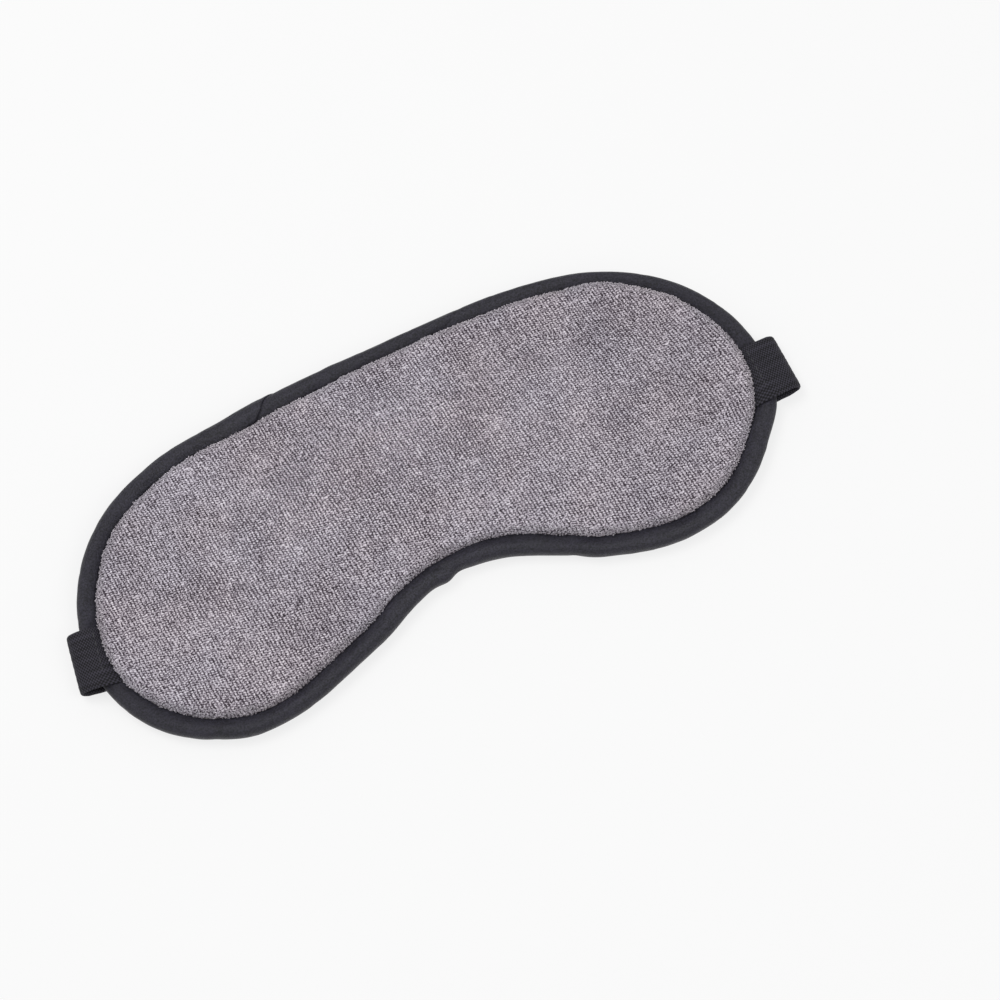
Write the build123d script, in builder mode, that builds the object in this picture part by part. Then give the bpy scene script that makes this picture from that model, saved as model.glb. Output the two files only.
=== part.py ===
"""Padded sleep eye mask with a bound edge and an elastic head strap.

The mask lies on its back: +Z is up and out of the terry face, +X runs along its length to the
wearer's right, +Y points at the brow, and the nose notch opens towards -Y. The origin is in the
middle of the length and of the height, on the surface that the mask lies on. Units are mm.
"""

from build123d import *
import math
import os

os.makedirs("parts", exist_ok=True)

# Outline: tangent arcs, as radius and angle, from the middle of the brow edge to the nose notch
BROW_Y = 42.72
BROW_ARC = (413.0, 8.5)
TEMPLE_ARC = (45.2, 81.4)
CHEEK_ARC = (35.9, 82.1)
FLANK_ARC = (69.5, 40.3)
ROUND_ARCS = (BROW_ARC, TEMPLE_ARC, CHEEK_ARC, FLANK_ARC)

# Bound edge: a double tape folded round the layers
BINDING_WIDTH = 4.3
BINDING_THICKNESS = 6.2
BINDING_ROUND = 2.4
BINDING_WEB = 0.8
LOWER_LAP = 1.8
UPPER_LAP = 1.0
JOIN_X = -28.5
JOIN_ANGLE = 45.0
JOIN_GROOVE = 0.3

# Layers, from the back upwards
BACK_THICKNESS = 0.4
LINER_THICKNESS = 0.3
FOAM_EDGE_THICKNESS = 1.9
FOAM_PUFF = 1.7
FOAM_PUFF_INSET = 6.0
PILE_GAP = 0.1
PILE_TOP = 8.2
PILE_ROUND = 1.8

# Elastic strap: for each end, the middle of the seam, the tilt towards the brow, and the reach
STRAP_WIDTH = 16.0
STRAP_THICKNESS = 1.1
STRAP_ENDS = {
    "left": {"side": -1, "seam": (-95.35, -5.8), "tilt": 9.4, "reach": 8.71},
    "right": {"side": 1, "seam": (95.25, -11.9), "tilt": 3.0, "reach": 9.58},
}
STRAP_LIFT = 0.05
STRAP_RAW_EDGE = 0.9
STRAP_SHOULDER = 3.6
FOLD_HEIGHT = 2.2
FOLD_RADIUS = 0.95
SHOULDER_RADIUS = 2.0
RUN_START = 6.0
RUN_GAP = 0.15
RUN_END_RADIUS = 500.0
PASS_CLEARANCE = (0.5, 0.2)

# Thread
STITCH_LENGTH, STITCH_WIDTH, STITCH_HEIGHT = 2.4, 0.5, 0.3
STITCH_PITCH = 3.0
STITCH_INSET = 0.5
TACK_LENGTH, TACK_PITCH, TACK_COUNT = 1.7, 2.4, 6
TACK_REACH = 1.8

# Heights that follow from the stack
back_z = LOWER_LAP
liner_z = back_z + BACK_THICKNESS
foam_z = liner_z + LINER_THICKNESS
terry_z = foam_z + FOAM_EDGE_THICKNESS
upper_lap_z = BINDING_THICKNESS - UPPER_LAP
strap_top_z = BINDING_THICKNESS + STRAP_LIFT + STRAP_THICKNESS


def rim(inset, z):
    """The face inside the mask's edge at height z, drawn in by inset."""
    point, heading = Vector(0, BROW_Y - inset), Vector(1, 0)
    turned = sum(turn for radius, turn in ROUND_ARCS) - 180
    with BuildSketch(Plane.XY.offset(z)) as face:
        with BuildLine():
            for radius, turn in ROUND_ARCS:
                arc = JernArc(point, heading, radius - inset, -turn)
                point, heading = arc @ 1, arc % 1
            # The hollow arc over the nose closes the chain on the middle plane
            JernArc(point, heading, point.X / math.sin(math.radians(turned)), turned)
            mirror(about=Plane.YZ)
        make_face()
    return face.sketch


def outward(end):
    """The direction in which a strap end leaves the mask, seen from above."""
    tilt = math.radians(end["tilt"])
    return Vector(end["side"] * math.cos(tilt), math.sin(tilt), 0)


def along(end, distance):
    """The point at a distance out from the seam of a strap end, on the resting surface."""
    return Vector(*end["seam"], 0) + outward(end) * distance


def finish(piece, name):
    piece.part.label = name
    export_step(piece.part, f"parts/{name}.step")


# Back panel: woven outer fabric
with BuildPart() as back_panel:
    extrude(rim(BINDING_WEB, back_z), amount=BACK_THICKNESS)
finish(back_panel, "back_panel")


# Blackout liner: a thin opaque cloth between the outer fabric and the foam
with BuildPart() as blackout_liner:
    extrude(rim(BINDING_WEB, liner_z), amount=LINER_THICKNESS)
finish(blackout_liner, "blackout_liner")


# Foam pad: pressed thin under the binding, full thickness inside it
with BuildPart() as foam_pad:
    extrude(rim(BINDING_WEB, foam_z), amount=FOAM_EDGE_THICKNESS)
    extrude(rim(FOAM_PUFF_INSET, terry_z), amount=FOAM_PUFF)
finish(foam_pad, "foam_pad")


# Terry panel: thin where the binding holds it, with the pile standing inside the seam
with BuildPart() as terry_panel:
    extrude(rim(BINDING_WEB, terry_z), amount=upper_lap_z - terry_z)
    extrude(rim(BINDING_WIDTH + PILE_GAP, upper_lap_z), amount=PILE_TOP - upper_lap_z)
    extrude(rim(FOAM_PUFF_INSET, terry_z), amount=FOAM_PUFF, mode=Mode.SUBTRACT)
    fillet(terry_panel.faces().sort_by(Axis.Z)[-1].edges(), PILE_ROUND)
finish(terry_panel, "terry_panel")


# Edge binding: a rounded band with an upper and a lower lap and the layers held between them
side_clearance, top_clearance = PASS_CLEARANCE
with BuildPart() as edge_binding:
    extrude(rim(0, 0), amount=BINDING_THICKNESS)
    fillet(edge_binding.faces().filter_by(Axis.Z).edges(), BINDING_ROUND)
    extrude(rim(BINDING_WEB, back_z), amount=upper_lap_z - back_z, mode=Mode.SUBTRACT)
    extrude(rim(BINDING_WIDTH, 0), amount=BINDING_THICKNESS, mode=Mode.SUBTRACT)
    # The strap is pressed into the lower lap where it crosses under it
    for end in STRAP_ENDS.values():
        with BuildSketch(Plane(along(end, 0), x_dir=outward(end), z_dir=(0, 0, 1))):
            Rectangle(4 * BINDING_WIDTH, STRAP_WIDTH + 2 * side_clearance)
        extrude(amount=STRAP_THICKNESS + top_clearance, mode=Mode.SUBTRACT)
    # Diagonal join of the tape's ends, on the brow edge
    with BuildSketch(Plane.XY.offset(BINDING_THICKNESS - JOIN_GROOVE)):
        with Locations(Location((JOIN_X, BROW_Y - BINDING_WIDTH / 2), JOIN_ANGLE)):
            Rectangle(2 * BINDING_WIDTH, JOIN_GROOVE)
    extrude(amount=JOIN_GROOVE, mode=Mode.SUBTRACT)
finish(edge_binding, "edge_binding")


# Binding stitches: the thread of the seam where it shows on the back, inside the lower lap
stitch_line = rim(BINDING_WIDTH + STITCH_INSET, back_z - STITCH_HEIGHT).wire()
stitch_count = round(stitch_line.length / STITCH_PITCH)
stitch_places = []
for i in range(stitch_count):
    run = stitch_line % (i / stitch_count)
    heading = math.degrees(math.atan2(run.Y, run.X))
    stitch_places.append(Location(stitch_line @ (i / stitch_count), (0, 0, heading)))
with BuildPart() as binding_stitches:
    with Locations(*stitch_places):
        Box(
            STITCH_LENGTH,
            STITCH_WIDTH,
            STITCH_HEIGHT,
            align=(Align.CENTER, Align.CENTER, Align.MIN),
        )
finish(binding_stitches, "binding_stitches")


def strap_end(end):
    """One end of the strap: from the seam over the binding, down, and folded back underneath."""
    low, high = STRAP_THICKNESS / 2, strap_top_z - STRAP_THICKNESS / 2
    tip = end["reach"] - STRAP_THICKNESS / 2
    direction = outward(end)
    section = Plane(along(end, 0), x_dir=direction, z_dir=direction.cross(Vector(0, 0, 1)))
    with BuildPart() as webbing:
        with BuildSketch(section):
            with BuildLine():
                FilletPolyline(
                    (RUN_START, low),
                    (tip, low),
                    (tip, FOLD_HEIGHT),
                    (STRAP_SHOULDER, high),
                    (STRAP_RAW_EDGE, high),
                    radius=[FOLD_RADIUS, FOLD_RADIUS, SHOULDER_RADIUS],
                )
            trace(line_width=STRAP_THICKNESS)
        extrude(amount=STRAP_WIDTH / 2, both=True)
    return webbing


def strap_tack(end):
    """The stitches that hold one end of the strap, in a row across it beside the seam."""
    direction = outward(end)
    across = math.degrees(math.atan2(direction.Y, direction.X)) + 90
    spot = along(end, TACK_REACH) + Vector(0, 0, strap_top_z)
    with BuildPart() as thread:
        with Locations(Location(spot, (0, 0, across))):
            with GridLocations(TACK_PITCH, 1, TACK_COUNT, 1):
                Box(
                    TACK_LENGTH,
                    STITCH_WIDTH,
                    STITCH_HEIGHT,
                    align=(Align.CENTER, Align.CENTER, Align.MIN),
                )
    return thread


for name, end in STRAP_ENDS.items():
    finish(strap_end(end), f"strap_end_{name}")
    finish(strap_tack(end), f"strap_tack_{name}")


# Strap run: the rest of the elastic, lying flat under the mask from one fold to the other
left, right = STRAP_ENDS["left"], STRAP_ENDS["right"]
start, stop = along(left, RUN_START - RUN_GAP), along(right, RUN_START - RUN_GAP)
left_drop = 1 - math.cos(math.radians(left["tilt"]))
right_rise = RUN_END_RADIUS * (1 - math.cos(math.radians(right["tilt"])))
run_start_radius = (start.Y - stop.Y + right_rise) / left_drop
with BuildPart() as strap_run:
    with BuildSketch():
        with BuildLine():
            leaving = JernArc(start, -outward(left), run_start_radius, left["tilt"])
            arriving = JernArc(stop, -outward(right), RUN_END_RADIUS, -right["tilt"])
            Line(leaving @ 1, arriving @ 1)
        trace(line_width=STRAP_WIDTH)
    extrude(amount=STRAP_THICKNESS)
finish(strap_run, "strap_run")

run_middle_y = (leaving @ 1).Y
print("edge length", round(rim(0, 0).wire().length, 1), "stitches", stitch_count)
print("strap run middle y", round(run_middle_y, 2), "top of strap", round(strap_top_z, 2))
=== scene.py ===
"""Looks of the padded sleep eye mask: terry face, satin bias binding and knitted elastic strap.

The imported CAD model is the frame, and every soft CAD solid is replaced by a modelled one. The
mask lies on its back with the terry face up (+Z), its length along X and its brow towards +Y.
Lengths in the geometry code are millimetres, and build() turns them into metres.
"""

import math

import bmesh
import bpy
import numpy as np
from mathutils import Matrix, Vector
from mathutils.bvhtree import BVHTree


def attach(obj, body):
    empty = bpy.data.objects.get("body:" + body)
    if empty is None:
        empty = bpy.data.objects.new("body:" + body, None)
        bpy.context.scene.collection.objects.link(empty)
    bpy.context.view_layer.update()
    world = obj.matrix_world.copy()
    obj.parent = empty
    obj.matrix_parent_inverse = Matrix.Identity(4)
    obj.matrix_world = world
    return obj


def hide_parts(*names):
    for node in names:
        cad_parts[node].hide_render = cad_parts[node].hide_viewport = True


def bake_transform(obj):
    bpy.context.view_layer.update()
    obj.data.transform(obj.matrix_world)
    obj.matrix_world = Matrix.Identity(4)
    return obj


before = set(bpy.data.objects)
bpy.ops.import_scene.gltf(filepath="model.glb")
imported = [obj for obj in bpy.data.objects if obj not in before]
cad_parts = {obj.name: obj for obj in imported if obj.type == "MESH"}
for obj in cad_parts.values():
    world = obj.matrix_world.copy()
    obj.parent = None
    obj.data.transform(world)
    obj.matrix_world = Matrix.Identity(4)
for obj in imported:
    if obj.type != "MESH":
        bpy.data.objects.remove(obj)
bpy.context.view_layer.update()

MM = 0.001

# Outline of the mask, as in the CAD: radius and turn of each arc from the brow to the notch
BROW_Y = 42.72
ROUND_ARCS = ((413.0, 8.5), (45.2, 81.4), (35.9, 82.1), (69.5, 40.3))
BINDING_WIDTH = 4.3
WEB = 0.8  # inset at which the cloths end inside the binding

# Unevenness of the sewn edge, clockwise from the middle of the brow: (place, amount)
EDGE_SWAY = (
    (2, -1.1), (48, 0.3), (77, -1.15), (128, 1.0), (138, 0.75), (151, -0.65), (187, 1.3),
    (210, 0.2), (219, -0.75), (232, 0.05), (265, 0.7), (289, -1.1), (320, 0.8), (331, -0.1),
    (345, -0.2), (375, 0.0), (398, -0.3), (430, -0.95), (441, -0.2), (462, -0.5), (487, -0.95),
)
SWAY_FADE = (8.0, 24.0)  # insets between which the sway dies away
# Width of the tape's upper lap, in the same way
LAP_WIDTHS = (
    (0, 4.6), (20, 4.4), (35, 4.6), (58, 4.7), (72, 3.8), (90, 4.6), (110, 5.2), (140, 5.9),
    (163, 5.7), (185, 5.3), (203, 5.4), (214, 4.9), (232, 5.3), (250, 5.1), (268, 5.5), (285, 5.4),
    (308, 5.1), (332, 5.4), (350, 5.4), (362, 4.8), (400, 5.4), (412, 5.2), (422, 5.4),
    (445, 5.1), (463, 5.9), (470, 5.4), (485, 5.2),
)

# Strap ends: middle of the seam, tilt towards the brow, and reach of the fold
STRAP_ENDS = {
    "left": {"side": -1, "seam": (-94.3, -6.7), "tilt": 9.5, "reach": 9.7},
    "right": {"side": 1, "seam": (94.2, -11.5), "tilt": 1.0, "reach": 11.45},
}
STRAP_WIDTH = 16.4
STRAP_THICKNESS = 1.0
RUN_Y = -12.28  # where the strap runs straight under the mask
RUN_LEVEL = 0.56  # height of the strap's middle line there
BLEND_X = 30.0  # where the stretching part of the strap ends
RUN_EASE = 22.0  # how far the strap takes to bend into line at each end
FOLD_RUN = 4.2  # from the outside of a fold back to where the strap lies level

# Terry cloth: one loop is LOOP_STEPS grid cells
ROW_PITCH = 0.92
LOOP_PITCH = 0.66
LOOP_STEPS = (2, 2)
LOOP_HEIGHT = 0.30
ROW_TURN = 6.8  # degrees
ROW_BOW = 0.0004  # how much more the rows turn with each millimetre along the mask
LEANING_SHARE = 0.10  # loops that lean over the gap beside their row
TERRY_CUT = WEB + 0.4
LAP_LEVEL = 3.85  # height of the terry where the binding presses it
EDGE_RISE = 3.4  # height that the pile gains just inside the seam
EDGE_ROUND = 2.1

# Padding before it swells: bottom and top at its edge and inside
PAD_CUT = WEB + 0.6
PAD_EDGE = (2.6, 3.6)
PAD_FULL = (2.45, 5.9)
PAD_SLOPE = (3.8, 8.0)  # insets between which it thickens
PAD_PINNED_INSET = 5.0
VOXEL = 1.5
SWELL_PRESSURE = 4.0
SWELL_FRAMES = 20
SWELL_CAP = 1.5  # the farthest that a point of the padding may move
STRAP_TOP = 1.12
BACK_LAYERS = 0.75  # the back cloths between the strap and the padding


# ---- outline and noise ----


def outline_arcs():
    """Arcs of the right half, clockwise from the brow: centre, radius, first heading, turn, sense."""
    arcs, point, heading = [], np.array([0.0, BROW_Y]), 0.0
    for radius, turn in ROUND_ARCS:
        turn = math.radians(turn)
        centre = point + radius * np.array([math.sin(heading), -math.cos(heading)])
        arcs.append((centre, radius, heading, turn, -1))
        heading -= turn
        point = centre + radius * np.array([-math.sin(heading), math.cos(heading)])
    turned = -math.pi - heading
    radius = point[0] / math.sin(turned)
    centre = point + radius * np.array([-math.sin(heading), math.cos(heading)])
    arcs.append((centre, radius, heading, turned, 1))
    return arcs


ARCS = outline_arcs()
ARC_ENDS = np.cumsum([radius * abs(turn) for _, radius, _, turn, _ in ARCS])
HALF_LENGTH = ARC_ENDS[-1]
EDGE_LENGTH = 2 * HALF_LENGTH


def edge_at(s):
    """Points and outward normals of the outline at distances s, clockwise from the brow's middle."""
    s = np.mod(np.asarray(s, float), EDGE_LENGTH)
    left = s > HALF_LENGTH
    t = np.where(left, EDGE_LENGTH - s, s)
    index = np.minimum(np.searchsorted(ARC_ENDS, t), len(ARCS) - 1)
    centre = np.array([arc[0] for arc in ARCS])[index]
    radius, first = (np.array([arc[k] for arc in ARCS])[index] for k in (1, 2))
    sense = np.array([arc[4] for arc in ARCS])[index]
    begun = np.concatenate([[0], ARC_ENDS[:-1]])[index]
    heading = first + sense * (t - begun) / radius
    normal = np.stack([-np.sin(heading), np.cos(heading)], -1)
    point = centre - sense[..., None] * radius[..., None] * normal
    mirrored = np.where(left, -1.0, 1.0)[..., None] * [1, 0] + [0, 1]
    return point * mirrored, normal * mirrored


def nearest_edge(x, y):
    """How far inside the outline each point lies, and the place along the edge nearest to it."""
    x, y = np.asarray(x, float), np.asarray(y, float)
    left, x = x < 0, np.abs(x)
    nearest, place, begun = np.full(np.shape(x), 1e9), np.zeros(np.shape(x)), 0.0
    for centre, radius, first, turn, sense in ARCS:
        dx, dy = x - centre[0], y - centre[1]
        heading = np.arctan2(sense * dx, -sense * dy)
        swept = np.mod(sense * (heading - first) + 0.01, 2 * math.pi) - 0.01
        depth = sense * (np.hypot(dx, dy) - radius)
        closer = (swept <= turn + 0.01) & (depth < nearest)
        nearest = np.where(closer, depth, nearest)
        place = np.where(closer, begun + swept * radius, place)
        begun += radius * turn
    return nearest, np.where(left, EDGE_LENGTH - place, place)


def inset_of(x, y):
    return nearest_edge(x, y)[0]


def ease(t):
    return t * t * (3 - 2 * t)


def smooth_step(value, start, end):
    return ease(np.clip((value - start) / (end - start), 0, 1))


def at_knots(s, knots):
    """Values at places along the closed edge, eased between (place, value) knots."""
    places = np.array([place for place, _ in knots])
    values = np.array([value for _, value in knots])
    s = np.mod(np.asarray(s, float), EDGE_LENGTH)
    upper = np.searchsorted(places, s, side="right")
    before, after = (upper - 1) % len(knots), upper % len(knots)
    gap = np.mod(places[after] - places[before], EDGE_LENGTH)
    t = ease(np.mod(s - places[before], EDGE_LENGTH) / gap)
    return values[before] * (1 - t) + values[after] * t


def seam_inset(s):
    """Where the tape's upper lap ends, which its hand sewing makes uneven."""
    return at_knots(s, LAP_WIDTHS)


def swayed(points):
    """The points moved with the uneven edge: fully near it, and not at all in the middle."""
    inset, s = nearest_edge(points[:, 0], points[:, 1])
    _, normal = edge_at(s)
    amount = at_knots(s, EDGE_SWAY) * (1 - smooth_step(inset, *SWAY_FADE))
    moved = points.copy()
    moved[:, :2] += normal * amount[:, None]
    return moved


def between(field, u, v, easing=None):
    """Values of a wrapping field at places u, v between its lattice points."""
    i, j = np.floor(u).astype(int), np.floor(v).astype(int)
    fu, fv = u - i, v - j
    if easing:
        fu, fv = easing(fu), easing(fv)
    rows, columns = field.shape
    low, high = (
        field[i % rows, (j + b) % columns] * (1 - fu) + field[(i + 1) % rows, (j + b) % columns] * fu
        for b in (0, 1)
    )
    return low * (1 - fv) + high * fv


def noise(x, y, cell, seed):
    """Smooth noise from -1 to 1 that changes over about one cell."""
    lattice = np.random.default_rng(seed).uniform(-1, 1, (512, 512))
    return between(lattice, np.asarray(x) / cell + 256, np.asarray(y) / cell + 256, ease)


def unit(vectors):
    return vectors / np.linalg.norm(vectors, axis=-1, keepdims=True)


def around_edge(s, centre):
    """Signed distance along the edge from centre to s, the short way round."""
    return np.mod(s - centre + HALF_LENGTH, EDGE_LENGTH) - HALF_LENGTH


# ---- mesh helpers ----


def build(name, points, faces, material, closed=True, **layers):
    """A smooth mesh object in metres from points in millimetres, with named vertex layers."""
    mesh = bpy.data.meshes.new(name)
    faces = faces.tolist() if hasattr(faces, "tolist") else faces
    mesh.from_pydata((np.asarray(points, float) * MM).tolist(), [], faces)
    if closed:
        solid = bmesh.new()
        solid.from_mesh(mesh)
        bmesh.ops.recalc_face_normals(solid, faces=solid.faces)
        solid.to_mesh(mesh)
        solid.free()
    for key, values in layers.items():
        values = np.asarray(values, np.float32)
        kind, field = ("FLOAT", "value") if values.ndim == 1 else ("FLOAT_VECTOR", "vector")
        mesh.attributes.new(key, kind, "POINT").data.foreach_set(field, values.ravel())
    mesh.polygons.foreach_set("use_smooth", [True] * len(mesh.polygons))
    mesh.update()
    obj = bpy.data.objects.new(name, mesh)
    obj.data.materials.append(material)
    bpy.context.scene.collection.objects.link(obj)
    return obj


def lattice_faces(rows, columns, wrap_columns=False):
    """Quads of a rows x columns lattice of points numbered row by row."""
    across = columns if wrap_columns else columns - 1
    i, j = np.meshgrid(np.arange(rows - 1), np.arange(across), indexing="ij")
    i, j = i.ravel(), j.ravel()
    k = (j + 1) % columns
    return np.stack([i * columns + j, i * columns + k, (i + 1) * columns + k, (i + 1) * columns + j], 1)


def strip_faces(rings, columns):
    """Faces of a flat tube whose two faces are numbered round each ring, closed at both ends."""
    faces = lattice_faces(rings, columns, wrap_columns=True).tolist()
    last = (rings - 1) * columns
    for k in range(columns // 2 - 1):
        faces.append([k, columns - 1 - k, columns - 2 - k, k + 1])
        faces.append([last + k, last + k + 1, last + columns - 2 - k, last + columns - 1 - k])
    return faces


def around(side, other, sides):
    """Directions evenly round a tube, from two directions across it."""
    angle = 2 * np.pi * np.arange(sides) / sides
    return side[..., None, :] * np.cos(angle)[:, None] + other[..., None, :] * np.sin(angle)[:, None]


def tube_faces(count, rings, sides):
    """Faces of many closed tubes, numbered tube by tube and ring by ring."""
    size = rings * sides
    first = (np.arange(count) * size)[:, None, None]
    walls = lattice_faces(rings, sides, wrap_columns=True)[None] + first
    caps = np.array([range(sides), range(size - 1, size - 1 - sides, -1)])[None] + first
    return walls.reshape(-1, 4).tolist() + caps.reshape(-1, sides).tolist()


def apply_modifiers(obj):
    """Replaces the object's mesh with what its modifiers make of it."""
    evaluated = obj.evaluated_get(bpy.context.evaluated_depsgraph_get())
    mesh = bpy.data.meshes.new_from_object(evaluated)
    obj.modifiers.clear()
    obj.data = mesh


def solidify(obj, thickness):
    """Gives a single sheet its thickness, growing down from its own level."""
    change = obj.modifiers.new("thickness", "SOLIDIFY")
    change.thickness = thickness * MM
    change.offset = -1
    apply_modifiers(obj)


def cut_cloth(step_x, step_y, inset, turn=0.0, bow=0.0):
    """A flat lattice cut to the outline drawn in by inset: points, faces, lattice row and column.

    turn is the lattice's angle in degrees, and bow makes it turn further along the mask.
    """
    nx, ny = int(214 / step_x), int(116 / step_y)
    i, j = np.meshgrid(np.arange(nx), np.arange(ny), indexing="ij")
    u, v = (i - nx // 2) * step_x, (j - ny // 2) * step_y
    cos, sin = math.cos(math.radians(turn)), math.sin(math.radians(turn))
    x, y = u * cos - v * sin - bow * u * v, u * sin + v * cos
    inside = (inset_of(x, y) >= inset).ravel()
    faces = lattice_faces(nx, ny)
    faces = faces[inside[faces].all(1)]
    used, faces = np.unique(faces, return_inverse=True)
    faces = faces.reshape(-1, 4)[:, ::-1]
    points = np.stack([x.ravel(), y.ravel()], 1)[used]
    return points, faces, i.ravel()[used], j.ravel()[used]


def border_of(faces):
    """Edges on the open border of a mesh of quads, the way that their faces run."""
    edges = {(a, b) for k in range(4) for a, b in faces[:, [k, (k + 1) % 4]].tolist()}
    return [(a, b) for a, b in edges if (b, a) not in edges]


def snap_rim(points, faces, inset):
    """Moves the stepped border of a cut lattice onto the exact outline drawn in by inset."""
    rim = np.unique(border_of(faces))
    delta = 0.01
    for _ in range(3):
        x, y = points[rim].T
        depth = inset_of(x, y)
        slope_x = (inset_of(x + delta, y) - depth) / delta
        slope_y = (inset_of(x, y + delta) - depth) / delta
        points[rim] -= (depth - inset)[:, None] * np.stack([slope_x, slope_y], 1)


# ---- material helpers ----


def put(tree, kind, inputs=None, **settings):
    """Adds a shader node. Inputs are numbers, colours or other nodes' output sockets."""
    node = tree.nodes.new(kind)
    for key, value in settings.items():
        setattr(node, key, value)
    for key, value in (inputs or {}).items():
        if isinstance(value, bpy.types.NodeSocket):
            tree.links.new(value, node.inputs[key])
        else:
            node.inputs[key].default_value = value
    return node


def calc(tree, operation, first, second=0.0, third=0.0):
    return put(tree, "ShaderNodeMath", {0: first, 1: second, 2: third}, operation=operation).outputs[0]


def ramp(tree, value, stops):
    """A colour ramp with (position, colour) stops."""
    node = put(tree, "ShaderNodeValToRGB", {0: value})
    elements = node.color_ramp.elements
    while len(elements) < len(stops):
        elements.new(0.5)
    for element, (position, colour) in zip(elements, stops):
        element.position = position
        element.color = (*colour, 1) if len(colour) == 3 else colour
    return node.outputs["Color"]


def layer(tree, name, output="Fac"):
    return put(tree, "ShaderNodeAttribute", attribute_name=name).outputs[output]


def speckle(tree, scale, detail=2.0, vector=None):
    """Noise from 0 to 1 in the object's own space; scale is in features a metre."""
    vector = vector or put(tree, "ShaderNodeTexCoord").outputs["Object"]
    inputs = {"Vector": vector, "Scale": scale, "Detail": detail, "Roughness": 0.55}
    return put(tree, "ShaderNodeTexNoise", inputs).outputs["Fac"]


def multiplied(tree, first, second):
    """The product of two colour sockets."""
    node = tree.nodes.new("ShaderNodeMix")
    node.data_type, node.blend_type, node.clamp_result = "RGBA", "MULTIPLY", False
    node.inputs["Factor"].default_value = 1.0
    tree.links.new(first, node.inputs[6])
    tree.links.new(second, node.inputs[7])
    return node.outputs[2]


def cloth_material(name, roughness, sheen, sheen_roughness=0.4, specular=0.5):
    """A Principled material for cloth, with its tree and shader."""
    material = bpy.data.materials.new(name)
    material.use_nodes = True
    shader = material.node_tree.nodes["Principled BSDF"]
    shader.inputs["Roughness"].default_value = roughness
    shader.inputs["Specular IOR Level"].default_value = specular
    shader.inputs["Sheen Weight"].default_value = sheen
    shader.inputs["Sheen Roughness"].default_value = sheen_roughness
    return material, material.node_tree, shader


def connect(tree, shader, colour, height=None, distance=0.0001, strength=0.5, rough=None):
    tree.links.new(colour, shader.inputs["Base Color"])
    if height is not None:
        inputs = {"Height": height, "Distance": distance, "Strength": strength}
        bump = put(tree, "ShaderNodeBump", inputs)
        tree.links.new(bump.outputs["Normal"], shader.inputs["Normal"])
    if rough is not None:
        tree.links.new(rough, shader.inputs["Roughness"])


def stretched(tree, scale, vector=None):
    """The object's own coordinates, or another vector, scaled apart along its three parts."""
    vector = vector or put(tree, "ShaderNodeTexCoord").outputs["Object"]
    return put(tree, "ShaderNodeMapping", {"Vector": vector, "Scale": scale}).outputs[0]


def weighted(tree, *parts, plus=0.0):
    """The sum of (value, weight) parts."""
    for value, weight in reversed(parts):
        plus = calc(tree, "MULTIPLY_ADD", value, weight, plus)
    return plus


def around_half(tree, value, amount):
    """A number from 0 to 1 turned into one round 0, and scaled."""
    return calc(tree, "MULTIPLY", calc(tree, "SUBTRACT", value, 0.5), amount)


def checks(tree, wave, ways, turns, amount=0.5):
    """A soft chequered pattern from 0 to 1 along two ways; turns are in radians a metre."""
    waves = [calc(tree, wave, calc(tree, "MULTIPLY", way, turn)) for way, turn in zip(ways, turns)]
    return calc(tree, "MULTIPLY_ADD", calc(tree, "MULTIPLY", *waves), amount, 0.5)


def split(tree, vector):
    """The parts of a vector socket."""
    return put(tree, "ShaderNodeSeparateXYZ", {0: vector}).outputs


def terry_material():
    """Loop pile: painted shade between rows, painted light on loop tips, and painted patches of light and
    shade where it leans.
    """
    material, tree, shader = cloth_material("terry_cloth", 0.95, 0.06, 0.5, 0.15)
    patches = speckle(tree, 70.0, 3.0)
    streaks = speckle(tree, 1100.0, 2.0, stretched(tree, (1.0, 0.16, 1.0)))
    tufts = speckle(tree, 1500.0, 1.0, stretched(tree, (1.0, 0.75, 1.0)))
    yarn = speckle(tree, 3000.0, 0.0, stretched(tree, (1.0, 0.9, 1.0)))
    # tip turns the pile layer's loop height into colour: painted shade low in the gaps, painted light up
    # on the tips
    tip = weighted(tree, (layer(tree, "tone"), 0.10), (layer(tree, "pile"), 0.84), plus=0.01)
    # patches adds soft painted shade and light where the pile leans
    for value, amount in ((patches, 0.29), (streaks, 0.08), (tufts, 0.10), (yarn, 1.2)):
        tip = calc(tree, "ADD", tip, around_half(tree, value, amount))
    # gap is painted shade between the rows and tips is painted light on the loops' tops; side and crown
    # lie between
    gap, side, crown, tips = (
        (0.030, 0.024, 0.030), (0.160, 0.140, 0.163), (0.395, 0.365, 0.403), (0.68, 0.65, 0.69),
    )
    colour = ramp(tree, tip, [(0.0, gap), (0.24, side), (0.50, crown), (1.0, tips)])
    hue = speckle(tree, 55.0, 2.0, stretched(tree, (1.0, 1.0, 2.0)))
    shift = ramp(tree, hue, [(0.35, (1.012, 0.99, 0.99)), (0.65, (0.985, 0.99, 1.012))])
    connect(tree, shader, multiplied(tree, colour, shift), yarn, 0.0003, 0.5)
    return material


def binding_material():
    """Dark satin bias tape: a very fine diagonal weave with a soft, slightly uneven shine."""
    material, tree, shader = cloth_material("binding_tape", 0.5, 0.02, 0.35, 0.30)
    along, across, _ = split(tree, layer(tree, "tape", "Vector"))
    ways = [calc(tree, side, along, across) for side in ("ADD", "SUBTRACT")]
    weave = checks(tree, "SINE", ways, [2 * math.pi / (SATIN_PITCH * MM)] * 2)
    patches = speckle(tree, 150.0, 3.0)
    grain = speckle(tree, 2300.0)
    shade = weighted(tree, (weave, 0.15), (patches, 0.25), plus=grain)
    dark, light = (0.0012, 0.0011, 0.0022), (0.0275, 0.0255, 0.0395)
    colour = ramp(tree, shade, [(0.50, dark), (0.90, light)])
    height = weighted(tree, (weave, 0.4), (grain, 0.6))
    rough = weighted(tree, (patches, 0.22), plus=0.36)
    connect(tree, shader, colour, height, 0.0002, 0.7, rough)
    return material


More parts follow.
